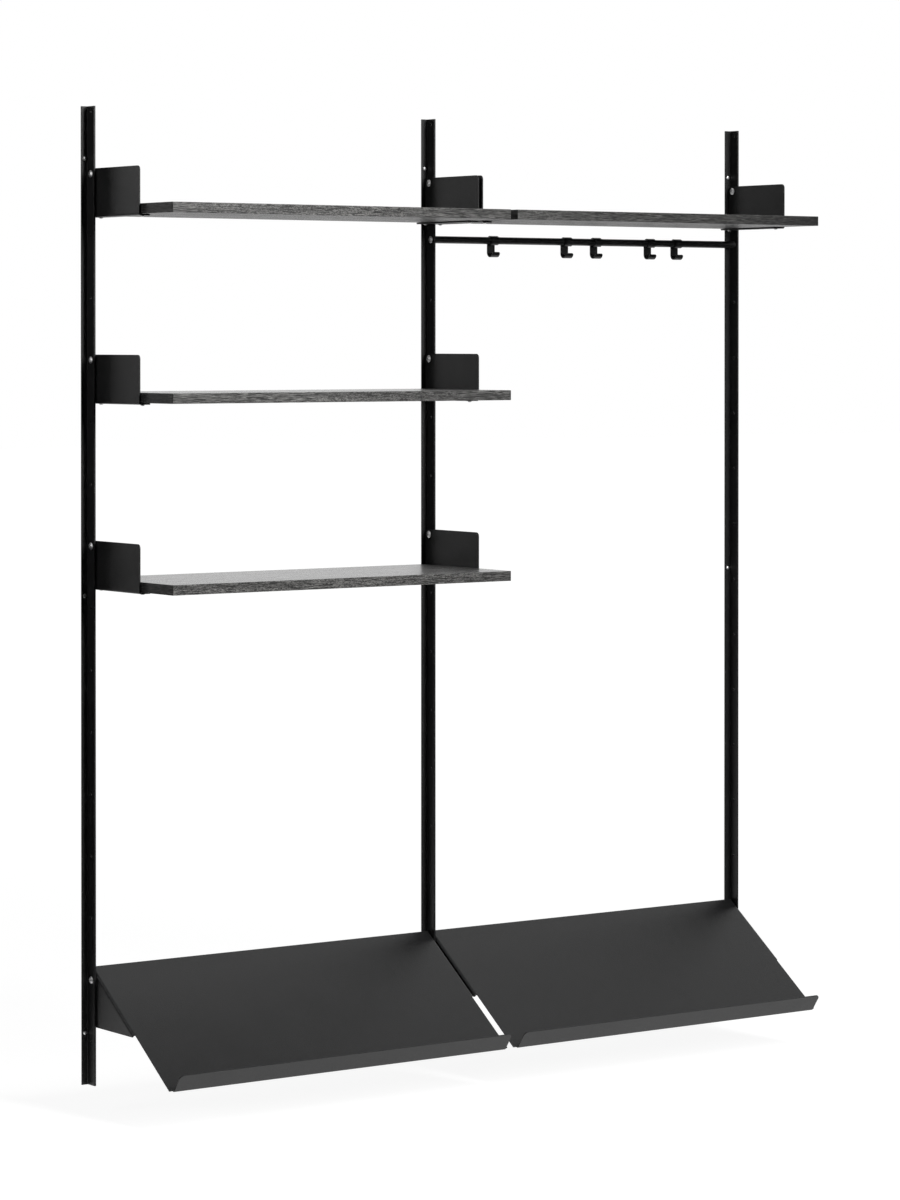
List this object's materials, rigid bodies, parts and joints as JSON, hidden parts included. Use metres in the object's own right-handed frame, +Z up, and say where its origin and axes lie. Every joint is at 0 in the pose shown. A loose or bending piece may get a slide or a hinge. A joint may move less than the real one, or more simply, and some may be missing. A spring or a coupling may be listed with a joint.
{
  "type": "wall mounted closet system",
  "caption": "Wall mounted closet system with T-section rails, shelf boards on bent brackets, a hanging rod with sliding hooks, and tilted shoe shelves with front lips.",
  "frame": {"origin": "middle of the middle rail's back face, at half its height, on the wall", "axes": "+Z up along the rails, +Y into the wall, +X to the right as seen from the front"},
  "size_m": [1.6414, 0.3192, 1.9],
  "materials": {
    "powder_coat": "satin black powder coat on steel",
    "black_oak": "black stained open pored veneer",
    "zinc_steel": "bright zinc plated steel"
  },
  "bodies": {
    "wall_frame": {"board_left_bay_1": "black_oak", "board_left_bay_2": "black_oak", "board_left_bay_3": "black_oak", "board_right_bay_1": "black_oak", "board_screw_left_bay_1_left_front": "zinc_steel", "board_screw_left_bay_1_left_rear": "zinc_steel", "board_screw_left_bay_1_right_front": "zinc_steel", "board_screw_left_bay_1_right_rear": "zinc_steel", "board_screw_left_bay_2_left_front": "zinc_steel", "board_screw_left_bay_2_left_rear": "zinc_steel", "board_screw_left_bay_2_right_front": "zinc_steel", "board_screw_left_bay_2_right_rear": "zinc_steel", "board_screw_left_bay_3_left_front": "zinc_steel", "board_screw_left_bay_3_left_rear": "zinc_steel", "board_screw_left_bay_3_right_front": "zinc_steel", "board_screw_left_bay_3_right_rear": "zinc_steel", "board_screw_right_bay_1_left_front": "zinc_steel", "board_screw_right_bay_1_left_rear": "zinc_steel", "board_screw_right_bay_1_right_front": "zinc_steel", "board_screw_right_bay_1_right_rear": "zinc_steel", "bracket_bolt_left_rail_1": "zinc_steel", "bracket_bolt_left_rail_2": "zinc_steel", "bracket_bolt_left_rail_3": "zinc_steel", "bracket_bolt_middle_rail_1": "zinc_steel", "bracket_bolt_middle_rail_2": "zinc_steel", "bracket_bolt_middle_rail_3": "zinc_steel", "bracket_bolt_right_rail_1": "zinc_steel", "bracket_left_bay_1_left": "powder_coat", "bracket_left_bay_1_right": "powder_coat", "bracket_left_bay_2_left": "powder_coat", "bracket_left_bay_2_right": "powder_coat", "bracket_left_bay_3_left": "powder_coat", "bracket_left_bay_3_right": "powder_coat", "bracket_right_bay_1_left": "powder_coat", "bracket_right_bay_1_right": "powder_coat", "hanging_rod": "powder_coat", "rail_left": "powder_coat", "rail_middle": "powder_coat", "rail_right": "powder_coat", "rod_screw_left": "zinc_steel", "rod_screw_right": "zinc_steel", "shoe_bolt_left_rail": "zinc_steel", "shoe_bolt_middle_rail": "zinc_steel", "shoe_bolt_right_rail": "zinc_steel", "shoe_shelf_left": "powder_coat", "shoe_shelf_right": "powder_coat", "wall_screw_left_rail_bottom": "zinc_steel", "wall_screw_left_rail_middle": "zinc_steel", "wall_screw_left_rail_top": "zinc_steel", "wall_screw_middle_rail_bottom": "zinc_steel", "wall_screw_middle_rail_middle": "zinc_steel", "wall_screw_middle_rail_top": "zinc_steel", "wall_screw_right_rail_bottom": "zinc_steel", "wall_screw_right_rail_middle": "zinc_steel", "wall_screw_right_rail_top": "zinc_steel"},
    "sliding_hook_1": {"hook_1": "powder_coat"},
    "sliding_hook_2": {"hook_2": "powder_coat"},
    "sliding_hook_3": {"hook_3": "powder_coat"},
    "sliding_hook_4": {"hook_4": "powder_coat"},
    "sliding_hook_5": {"hook_5": "powder_coat"}
  },
  "joints": [
    {"name": "hook_1_slide", "type": "slide", "parent": "wall_frame", "child": "sliding_hook_1", "axis": [1, 0, 0], "range_m": [-0.1421, 0.0856]},
    {"name": "hook_2_slide", "type": "slide", "parent": "wall_frame", "child": "sliding_hook_2", "axis": [1, 0, 0], "range_m": [-0.0855, 0.0285]},
    {"name": "hook_3_slide", "type": "slide", "parent": "wall_frame", "child": "sliding_hook_3", "axis": [1, 0, 0], "range_m": [-0.0289, 0.0624]},
    {"name": "hook_4_slide", "type": "slide", "parent": "wall_frame", "child": "sliding_hook_4", "axis": [1, 0, 0], "range_m": [-0.0624, 0.0265]},
    {"name": "hook_5_slide", "type": "slide", "parent": "wall_frame", "child": "sliding_hook_5", "axis": [1, 0, 0], "range_m": [-0.0266, 0.1454]}
  ]
}
